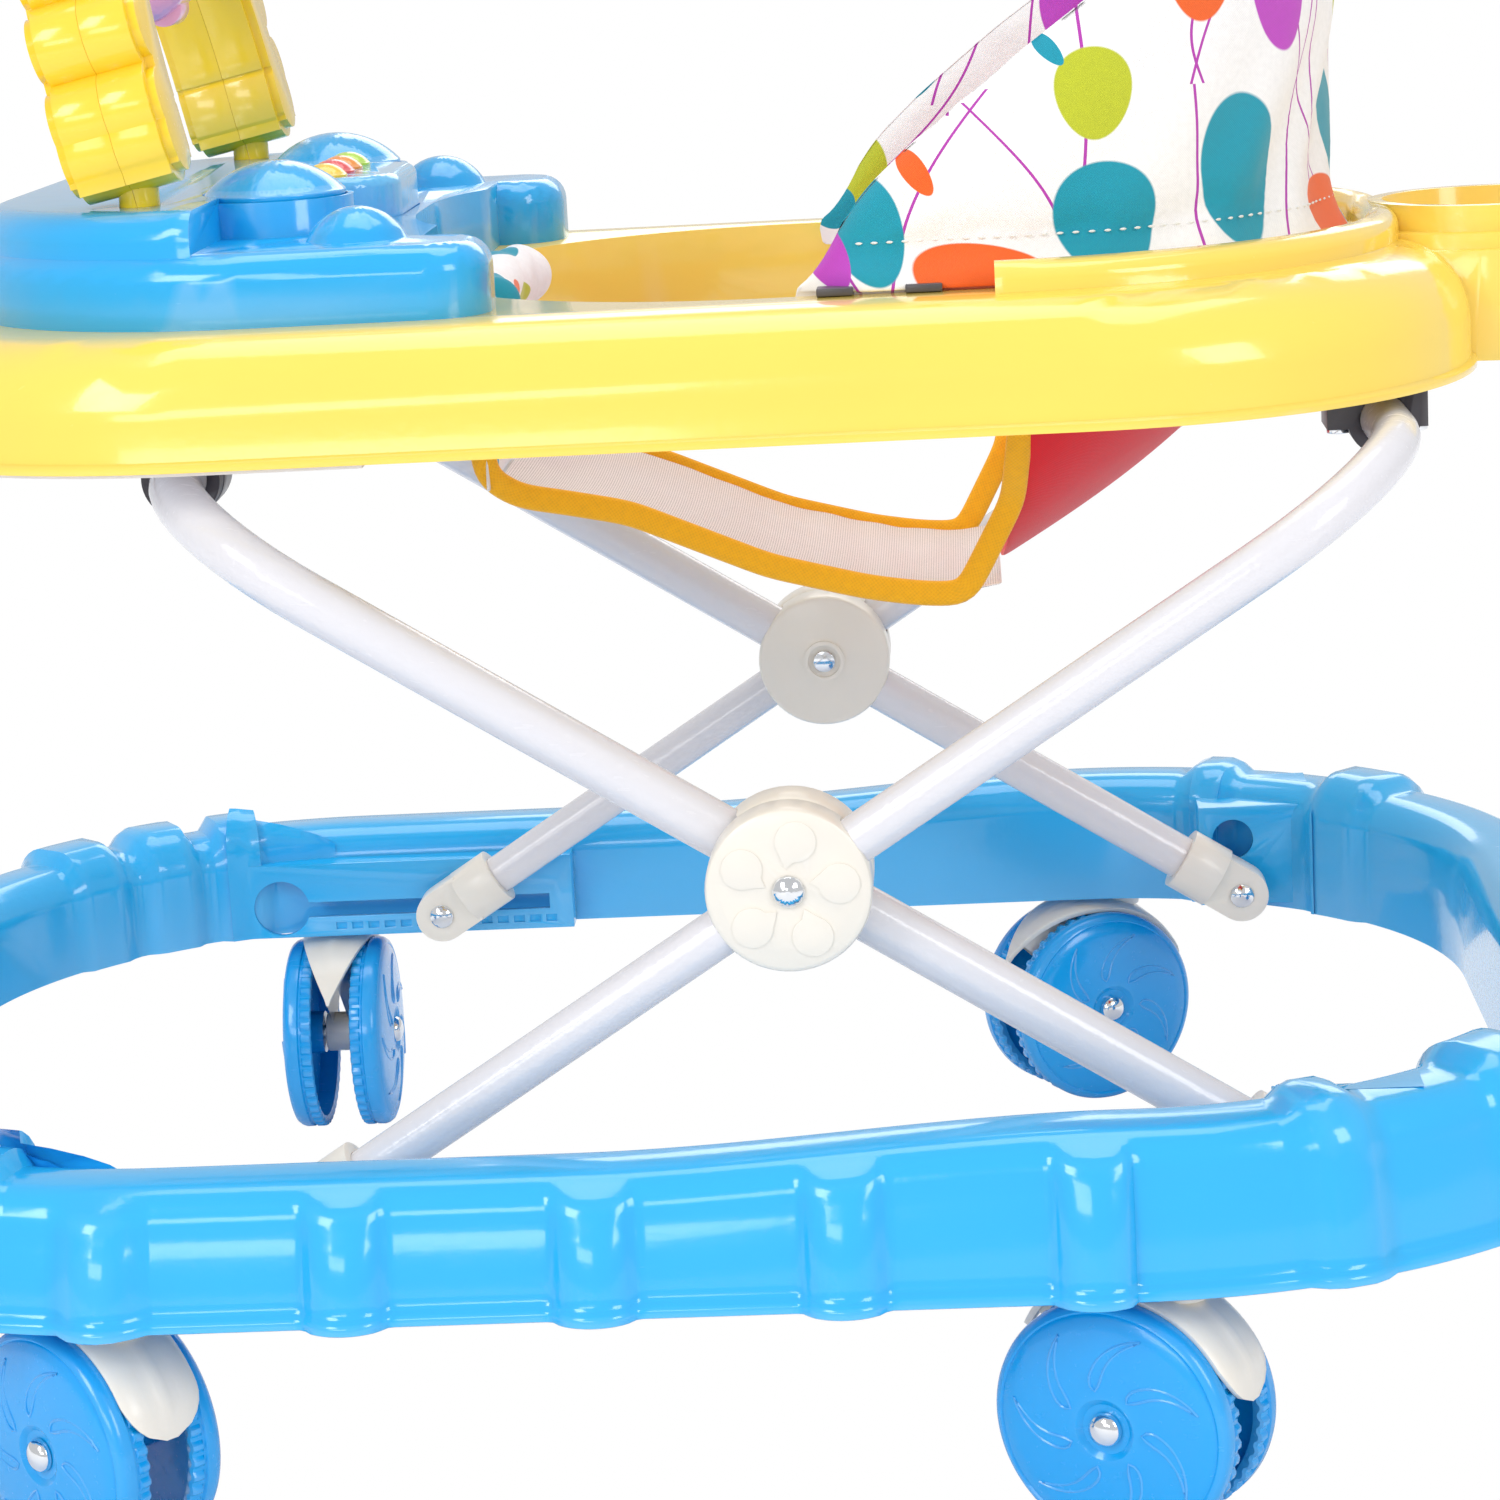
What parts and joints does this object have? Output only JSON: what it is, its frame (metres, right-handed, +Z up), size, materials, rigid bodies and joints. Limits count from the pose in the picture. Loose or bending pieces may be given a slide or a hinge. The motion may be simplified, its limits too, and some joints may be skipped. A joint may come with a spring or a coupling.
{
  "type": "baby walker",
  "caption": "Folding baby walker: floor ring on swivel casters, crossed steel tube frame, moulded tray with toy console, arch and cup holder, printed fabric seat.",
  "frame": {"origin": "centre of the bounding box in plan, on the floor", "axes": "+X towards the rear of the walker, where the seat back is; -X towards the toy console; +Y across the walker, to the right of a child who faces the console; +Z up"},
  "size_m": [0.7182, 0.55, 0.5879],
  "materials": {
    "blue_plastic": "gloss",
    "wheel_blue": "gloss",
    "cream_plastic": "satin",
    "chrome": "polished",
    "tube_white": "gloss paint",
    "black_plastic": "satin",
    "yellow_plastic": "gloss",
    "white_plastic": "satin",
    "light_blue_plastic": "gloss",
    "battery_wrap": "satin",
    "board_green": "matt",
    "key_yellow": "gloss",
    "key_red": "gloss",
    "key_orange": "gloss",
    "key_green": "gloss",
    "arch_yellow": "gloss",
    "toy_pink": "gloss",
    "printed_fabric": "printed woven cotton",
    "board_brown": "pressed board",
    "red_fabric": "woven",
    "white_mesh": "open mesh",
    "yellow_binding": "woven tape"
  },
  "bodies": {
    "base": {"base_ring": "blue_plastic"},
    "rear_foot_frame_body": {"rear_foot_frame": "tube_white", "rear_foot_caps": "cream_plastic", "rear_foot_rivets": "chrome", "inner_hub_discs": "cream_plastic", "slider_collars": "black_plastic"},
    "front_foot_frame_body": {"front_foot_frame": "tube_white", "front_foot_caps": "cream_plastic", "front_foot_rivets": "chrome", "outer_hub_discs": "cream_plastic", "hub_rivets": "chrome"},
    "tray": {"tray_shell": "yellow_plastic", "tray_under_plate": "white_plastic", "under_plate_screws": "chrome", "rear_bar_brackets": "black_plastic", "bracket_screws": "chrome", "console_shell": "blue_plastic", "music_box": "light_blue_plastic", "battery_door": "light_blue_plastic", "batteries": "battery_wrap", "circuit_board": "board_green", "speaker": "black_plastic", "arch_front_shell": "arch_yellow", "arch_rear_shell": "arch_yellow", "arch_spindle": "chrome", "seat_back": "printed_fabric", "seat_back_board": "board_brown", "seat_bucket": "red_fabric", "crotch_sling": "white_mesh", "leg_bindings": "yellow_binding", "front_bib": "printed_fabric", "front_pad": "printed_fabric", "seat_hooks": "black_plastic"},
    "latch": {"height_latch": "white_plastic"},
    "left_button": {"left_dome_button": "blue_plastic"},
    "right_button": {"right_dome_button": "blue_plastic"},
    "yellow_key": {"key_yellow": "key_yellow"},
    "red_key": {"key_red": "key_red"},
    "orange_key": {"key_orange": "key_orange"},
    "green_key": {"key_green": "key_green"},
    "toy": {"spinning_toy": "toy_pink"},
    "caster_1": {"caster_hood_1": "cream_plastic"},
    "wheel_pair_1": {"caster_wheels_1": "wheel_blue", "caster_axle_1": "chrome"},
    "caster_2": {"caster_hood_2": "cream_plastic"},
    "wheel_pair_2": {"caster_wheels_2": "wheel_blue", "caster_axle_2": "chrome"},
    "caster_3": {"caster_hood_3": "cream_plastic"},
    "wheel_pair_3": {"caster_wheels_3": "wheel_blue", "caster_axle_3": "chrome"},
    "caster_4": {"caster_hood_4": "cream_plastic"},
    "wheel_pair_4": {"caster_wheels_4": "wheel_blue", "caster_axle_4": "chrome"},
    "caster_5": {"caster_hood_5": "cream_plastic"},
    "wheel_pair_5": {"caster_wheels_5": "wheel_blue", "caster_axle_5": "chrome"},
    "caster_6": {"caster_hood_6": "cream_plastic"},
    "wheel_pair_6": {"caster_wheels_6": "wheel_blue", "caster_axle_6": "chrome"}
  },
  "joints": [
    {"name": "fold", "type": "hinge", "parent": "base", "child": "rear_foot_frame_body", "pos_m": [0.2187, 0, 0.1], "axis": [0, 1, 0], "range_deg": [-24.5, 9.5]},
    {"name": "hub_pivot", "type": "hinge", "parent": "rear_foot_frame_body", "child": "front_foot_frame_body", "pos_m": [0.05002, 0, 0.20746], "axis": [0, 1, 0], "range_deg": [-19, 49]},
    {"name": "tray_pivot", "type": "hinge", "parent": "front_foot_frame_body", "child": "tray", "pos_m": [0.25244, 0, 0.33641], "axis": [0, 1, 0], "range_deg": [-24.5, 9.5]},
    {"name": "caster_swivel_1", "type": "hinge", "parent": "base", "child": "caster_1", "pos_m": [-0.17, -0.2445, 0.09], "axis": [0, 0, 1], "continuous": true},
    {"name": "wheel_spin_1", "type": "hinge", "parent": "caster_1", "child": "wheel_pair_1", "pos_m": [-0.18338, -0.23246, 0.041], "axis": [0.6691, 0.7431, 0], "continuous": true},
    {"name": "caster_swivel_2", "type": "hinge", "parent": "base", "child": "caster_2", "pos_m": [0.17, -0.2445, 0.09], "axis": [0, 0, 1], "continuous": true},
    {"name": "wheel_spin_2", "type": "hinge", "parent": "caster_2", "child": "wheel_pair_2", "pos_m": [0.15411, -0.23605, 0.041], "axis": [0.4695, 0.8829, 0], "continuous": true},
    {"name": "caster_swivel_3", "type": "hinge", "parent": "base", "child": "caster_3", "pos_m": [-0.17, 0.2445, 0.09], "axis": [0, 0, 1], "continuous": true},
    {"name": "wheel_spin_3", "type": "hinge", "parent": "caster_3", "child": "wheel_pair_3", "pos_m": [-0.17, 0.2265, 0.041], "axis": [-1, 0, 0], "continuous": true},
    {"name": "caster_swivel_4", "type": "hinge", "parent": "base", "child": "caster_4", "pos_m": [0.17, 0.2445, 0.09], "axis": [0, 0, 1], "continuous": true},
    {"name": "wheel_spin_4", "type": "hinge", "parent": "caster_4", "child": "wheel_pair_4", "pos_m": [0.15411, 0.23605, 0.041], "axis": [-0.4695, 0.8829, 0], "continuous": true},
    {"name": "caster_swivel_5", "type": "hinge", "parent": "base", "child": "caster_5", "pos_m": [-0.3205, 0, 0.09], "axis": [0, 0, 1], "continuous": true},
    {"name": "wheel_spin_5", "type": "hinge", "parent": "caster_5", "child": "wheel_pair_5", "pos_m": [-0.32666, -0.01691, 0.041], "axis": [-0.9397, 0.342, 0], "continuous": true},
    {"name": "caster_swivel_6", "type": "hinge", "parent": "base", "child": "caster_6", "pos_m": [0.3205, 0, 0.09], "axis": [0, 0, 1], "continuous": true},
    {"name": "wheel_spin_6", "type": "hinge", "parent": "caster_6", "child": "wheel_pair_6", "pos_m": [0.32666, 0.01691, 0.041], "axis": [0.9397, -0.342, 0], "continuous": true},
    {"name": "left_button_press", "type": "slide", "parent": "tray", "child": "left_button", "axis": [0, 0, -1], "range_m": [0, 0.0025], "stiffness_N_per_m": 400, "springref_m": -0.001},
    {"name": "right_button_press", "type": "slide", "parent": "tray", "child": "right_button", "axis": [0, 0, -1], "range_m": [0, 0.0025], "stiffness_N_per_m": 400, "springref_m": -0.001},
    {"name": "yellow_key_press", "type": "slide", "parent": "tray", "child": "yellow_key", "axis": [0, 0, -1], "range_m": [0, 0.002], "stiffness_N_per_m": 120, "springref_m": -0.001},
    {"name": "red_key_press", "type": "slide", "parent": "tray", "child": "red_key", "axis": [0, 0, -1], "range_m": [0, 0.002], "stiffness_N_per_m": 120, "springref_m": -0.001},
    {"name": "orange_key_press", "type": "slide", "parent": "tray", "child": "orange_key", "axis": [0, 0, -1], "range_m": [0, 0.002], "stiffness_N_per_m": 120, "springref_m": -0.001},
    {"name": "green_key_press", "type": "slide", "parent": "tray", "child": "green_key", "axis": [0, 0, -1], "range_m": [0, 0.002], "stiffness_N_per_m": 120, "springref_m": -0.001},
    {"name": "height_latch_pull", "type": "slide", "parent": "tray", "child": "latch", "axis": [-1, 0, 0], "range_m": [0, 0.008], "stiffness_N_per_m": 300, "springref_m": -0.004},
    {"name": "toy_spin", "type": "hinge", "parent": "tray", "child": "toy", "pos_m": [-0.17618, 0, 0.50631], "axis": [0, 1, 0], "continuous": true}
  ],
  "couplings": [
    {"joint": "hub_pivot", "follows": "fold", "ratio": -2},
    {"joint": "tray_pivot", "follows": "fold", "ratio": 1}
  ]
}
